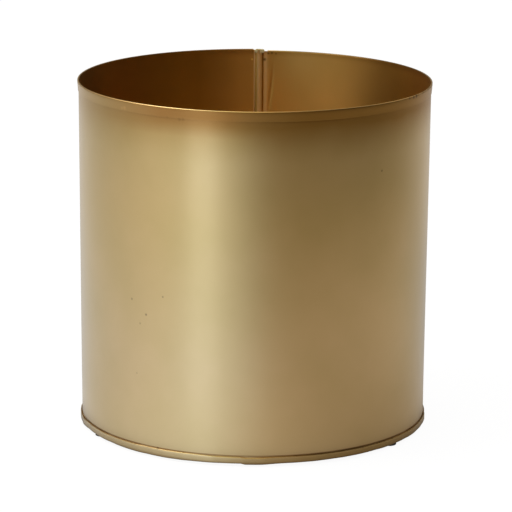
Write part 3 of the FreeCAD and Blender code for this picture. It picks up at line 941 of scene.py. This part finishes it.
# The studio as the metal sees it: at bearings in degrees round the pot, its brightness and how much of the
# warm tone it has. 0 is the camera's side, minus is its left and 180 is the backdrop. Warm panels hang
# overhead, and take over from what is low down, which is dim, between the two rises. The room's light is
# even, and falls on whatever doesn't mirror it.
WARM_TONE = (1.00, 0.70, 0.36)
OVERHEAD = [
    (-180, 0.66, 0.9), (-130, 0.92, 0.7), (-100, 0.82, 0.8), (-78, 0.95, 0.8), (-55, 1.45, 0.8),
    (-30, 1.45, 0.9), (-5, 1.15, 1.0), (15, 0.98, 1.0), (40, 0.42, 1.0), (65, 0.05, 1.0), (110, 0.00, 1.0),
    (135, 0.70, 1.0), (180, 0.66, 0.9),
]
LOW_DOWN = [
    (-180, 0.20, 0.6), (-100, 0.22, 0.9), (-60, 0.40, 0.7), (-30, 0.55, 0.2), (0, 0.08, 0.5), (15, 0.00, 0.5),
    (110, 0.00, 0.5), (180, 0.20, 0.6),
]
OVERHEAD_RISE = (0.30, 0.60)
ROOM_LIGHT = 0.8

# The pale table as the metal sees it, at the pot's foot, farther out and far away: it is bright at the front
# left, and at the foot on the right it holds the pot's painted shadow. Then the most that these ramps hold,
# where the dark ring round the foot, a painted contact shadow, starts and ends and how dark it is, and over
# which distances from the pot's middle one ramp gives way to the next, in metres.
TABLE_FOOT = [
    (-180, 0.66, 0.0), (-120, 0.76, 0.0), (-80, 0.87, 0.1), (-55, 1.05, 0.0), (-38, 1.08, -0.1),
    (-14, 1.16, -0.1), (5, 0.84, 0.4), (22, 0.68, 0.5), (40, 0.56, 0.6), (70, 0.48, 0.6),
    (100, 0.50, 0.4), (140, 0.58, 0.1), (180, 0.66, 0.0),
]
TABLE_MIDDLE = [
    (-180, 0.68, 0.0), (-120, 0.85, 0.0), (-95, 0.98, 0.0), (-80, 1.00, 0.0), (-48, 1.03, 0.0),
    (-32, 1.22, -0.35), (-14, 1.30, -0.15), (0, 1.00, 0.0), (10, 0.85, 0.4), (25, 0.84, 0.6),
    (45, 1.00, 0.6), (80, 1.00, 0.5), (100, 0.88, 0.4), (120, 0.63, 0.2), (145, 0.55, 0.1), (180, 0.68, 0.0),
]
TABLE_FAR = [
    (-180, 0.75, 0.2), (-120, 0.92, 0.1), (-90, 1.00, 0.2), (-20, 1.00, 0.0), (-10, 0.55, 0.0),
    (0, 0.06, 0.5), (40, 0.00, 0.5), (80, 0.12, 0.8), (100, 0.42, 0.7), (120, 0.70, 0.4), (180, 0.75, 0.2),
]
TABLE_MOST = 1.6
TABLE_CONTACT_SHADOW = (0.118, 0.150, 0.25)
TABLE_FOOT_TO_MIDDLE = (0.20, 0.40)
TABLE_MIDDLE_TO_FAR = (0.50, 0.85)


def bearing_of(tree, vector):
    """Where a direction or place lies round the pot, from 0 at minus half a turn to 1 at plus half a turn."""
    return spread(tree, turned_from_front(tree, coordinates(tree, vector)), 0, 1, -math.pi, math.pi)


def brightness(tree, bearing, stops, most=1.0):
    """Brightness by bearing, as a smooth run between its stops, which a ramp holds as shares of the most."""
    ramp = tree.nodes.new("ShaderNodeValToRGB")
    ramp.color_ramp.interpolation = "B_SPLINE"
    elements = ramp.color_ramp.elements
    while len(elements) < len(stops):
        elements.new(0.5)
    for element, (degrees, light, warmth) in zip(elements, stops):
        element.position = (degrees + 180) / 360
        element.color = (*(light / most * (1 + warmth * (tone - 1)) for tone in WARM_TONE), 1)
    tree.links.new(bearing, ramp.inputs["Fac"])
    return vector_result(tree, "MULTIPLY", ramp.outputs["Color"], (most,) * 3)


def glow(tree, kind, colour=(1, 1, 1, 1), strength=1.0):
    """The light of a surface or of the world, white where no colour is given."""
    node = tree.nodes.new(kind)
    feed(tree, node.inputs["Color"], colour)
    node.inputs["Strength"].default_value = strength
    return node.outputs[0]


def ray_kinds(tree):
    """1 for what the camera sees by itself, and 1 for what it sees in metal or through glass."""
    path = tree.nodes.new("ShaderNodeLightPath").outputs
    mirrored = calculated(tree, "MAXIMUM", path["Is Glossy Ray"], path["Is Transmission Ray"])
    return path["Is Camera Ray"], mirrored


def mixed_shader(tree, share, first, second):
    """A mix of two shaders by a share."""
    node = tree.nodes.new("ShaderNodeMixShader")
    for socket, value in zip(node.inputs, (share, first, second)):
        tree.links.new(value, socket)
    return node.outputs[0]


def studio_light():
    """The world: white to the camera, and the studio's bright and dim sides to everything else."""
    world = bpy.data.worlds.new("studio")
    bpy.context.scene.world = world
    world.use_nodes = True
    tree = world.node_tree
    tree.nodes.clear()
    direction = tree.nodes.new("ShaderNodeTexCoord").outputs["Generated"]
    bearing = bearing_of(tree, direction)
    rise = spread(tree, coordinates(tree, direction)["Z"], 0, 1, *OVERHEAD_RISE)
    panels = mixed(tree, rise, brightness(tree, bearing, LOW_DOWN), brightness(tree, bearing, OVERHEAD))
    by_camera, mirrored = ray_kinds(tree)
    room = glow(tree, "ShaderNodeBackground", strength=ROOM_LIGHT)
    around = mixed_shader(tree, mirrored, room, glow(tree, "ShaderNodeBackground", panels))
    shown = mixed_shader(tree, by_camera, around, glow(tree, "ShaderNodeBackground"))
    output = tree.nodes.new("ShaderNodeOutputWorld")
    tree.links.new(shown, output.inputs["Surface"])


# The lamps, both softboxes at the front left, one low and one high: bearing in degrees, distance, height of
# the middle, width and height in metres, how bright the face is, and its tone.
LAMPS = {
    "key": (-30, 1.1, 0.19, 0.34, 0.38, 1.12, (0.86, 1.00, 1.40)),
    "top": (-75, 1.0, 1.35, 0.90, 0.90, 2.8, (1.00, 0.95, 0.85)),
}


def add_lamps():
    """The softboxes, each turned to the pot's middle."""
    for name, (bearing, distance, height, wide, tall, bright, tone) in LAMPS.items():
        data = bpy.data.lights.new(name, "AREA")
        data.shape = "RECTANGLE"
        data.size = wide
        data.size_y = tall
        data.energy = bright * math.pi * wide * tall
        data.color = tone
        lamp = bpy.data.objects.new(name, data)
        bpy.context.scene.collection.objects.link(lamp)
        turned = math.radians(bearing)
        lamp.location = (distance * math.sin(turned), -distance * math.cos(turned), height)
        target = Vector((0, 0, min(height, RIM_LEVEL)))
        lamp.rotation_euler = (target - lamp.location).to_track_quat("-Z", "Y").to_euler()


# The table: its edges in metres, its tone, and how much of it the camera sees as white and how bright.
FLOOR_FRONT = -1.3
FLOOR_BACK = 3.0
FLOOR_HALF_WIDTH = 1.6
FLOOR_TONE = (0.82, 0.82, 0.82)
FLOOR_WHITENESS = 0.88
FLOOR_STRENGTH = 1.06


def studio_floor():
    """A pale table that fades into the white backdrop, shows its light in the metal and keeps the shadow."""
    mesh = bpy.data.meshes.new("floor")
    corners = [(x, y, 0) for x, y in (
        (-FLOOR_HALF_WIDTH, FLOOR_FRONT), (FLOOR_HALF_WIDTH, FLOOR_FRONT),
        (FLOOR_HALF_WIDTH, FLOOR_BACK), (-FLOOR_HALF_WIDTH, FLOOR_BACK),
    )]
    mesh.from_pydata(corners, [], [(0, 1, 2, 3)])
    floor = bpy.data.objects.new("floor", mesh)
    bpy.context.scene.collection.objects.link(floor)
    material, tree, shader = new_material("pale_table", Roughness=0.9)
    shader.inputs["Base Color"].default_value = (*FLOOR_TONE, 1)
    place = tree.nodes.new("ShaderNodeNewGeometry").outputs["Position"]
    bearing = bearing_of(tree, place)
    distance = vector_result(tree, "LENGTH", place, output="Value")
    shown = brightness(tree, bearing, TABLE_FOOT, TABLE_MOST)
    for stops, reach in ((TABLE_MIDDLE, TABLE_FOOT_TO_MIDDLE), (TABLE_FAR, TABLE_MIDDLE_TO_FAR)):
        away = spread(tree, distance, 0, 1, *reach)
        shown = mixed(tree, away, shown, brightness(tree, bearing, stops, TABLE_MOST))
    # The painted contact shadow round the pot's foot.
    start, end, dark = TABLE_CONTACT_SHADOW
    shown = vector_result(tree, "MULTIPLY", shown, spread(tree, distance, dark, 1, start, end))
    by_camera, mirrored = ray_kinds(tree)
    white = glow(tree, "ShaderNodeEmission", strength=FLOOR_STRENGTH)
    to_camera = mixed_shader(tree, product(tree, by_camera, FLOOR_WHITENESS), shader.outputs[0], white)
    surface = mixed_shader(tree, mirrored, to_camera, glow(tree, "ShaderNodeEmission", shown))
    tree.links.new(surface, tree.nodes["Material Output"].inputs["Surface"])
    dress(floor, material)


# The two tones of each material.
BRASS_TONES = ((0.582, 0.456, 0.234), (0.634, 0.492, 0.272))
SOLDER_TONES = ((0.40, 0.31, 0.13), (0.82, 0.70, 0.38))
RUBBER_TONES = ((0.012, 0.011, 0.010), (0.030, 0.028, 0.026))
ADHESIVE_TONES = ((0.62, 0.60, 0.54), (0.74, 0.72, 0.66))

wall = wall_piece()
base = base_piece()
tack = tack_piece()
brass = brass_material("brushed_brass", BRASS_TONES, roughness=0.38, coat=0.6)
solder = plain_grain(
    "dull_solder", SOLDER_TONES, scale=900, depth=0.0001,
    Metallic=0.35, Roughness=0.5, Specular_IOR_Level=0.2,
)
rubber = plain_grain("black_rubber", RUBBER_TONES, scale=1500, depth=0.00005, Roughness=0.75)
adhesive = plain_grain("milky_adhesive", ADHESIVE_TONES, scale=700, depth=0.00003, Roughness=0.5)
for piece, material, slot in (
    (wall, brass, "brass_sheet"),
    (base, brass, "brass_sheet"),
    (tack, solder, "solder"),
):
    dress(piece, material)
    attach(piece, "root")
for name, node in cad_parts.items():
    if name.startswith("foot_pad"):
        dress(node, rubber)
    elif name.startswith("pad_adhesive"):
        dress(node, adhesive)

add_camera()
studio_light()
add_lamps()
studio_floor()
bpy.context.scene.view_settings.view_transform = "Standard"
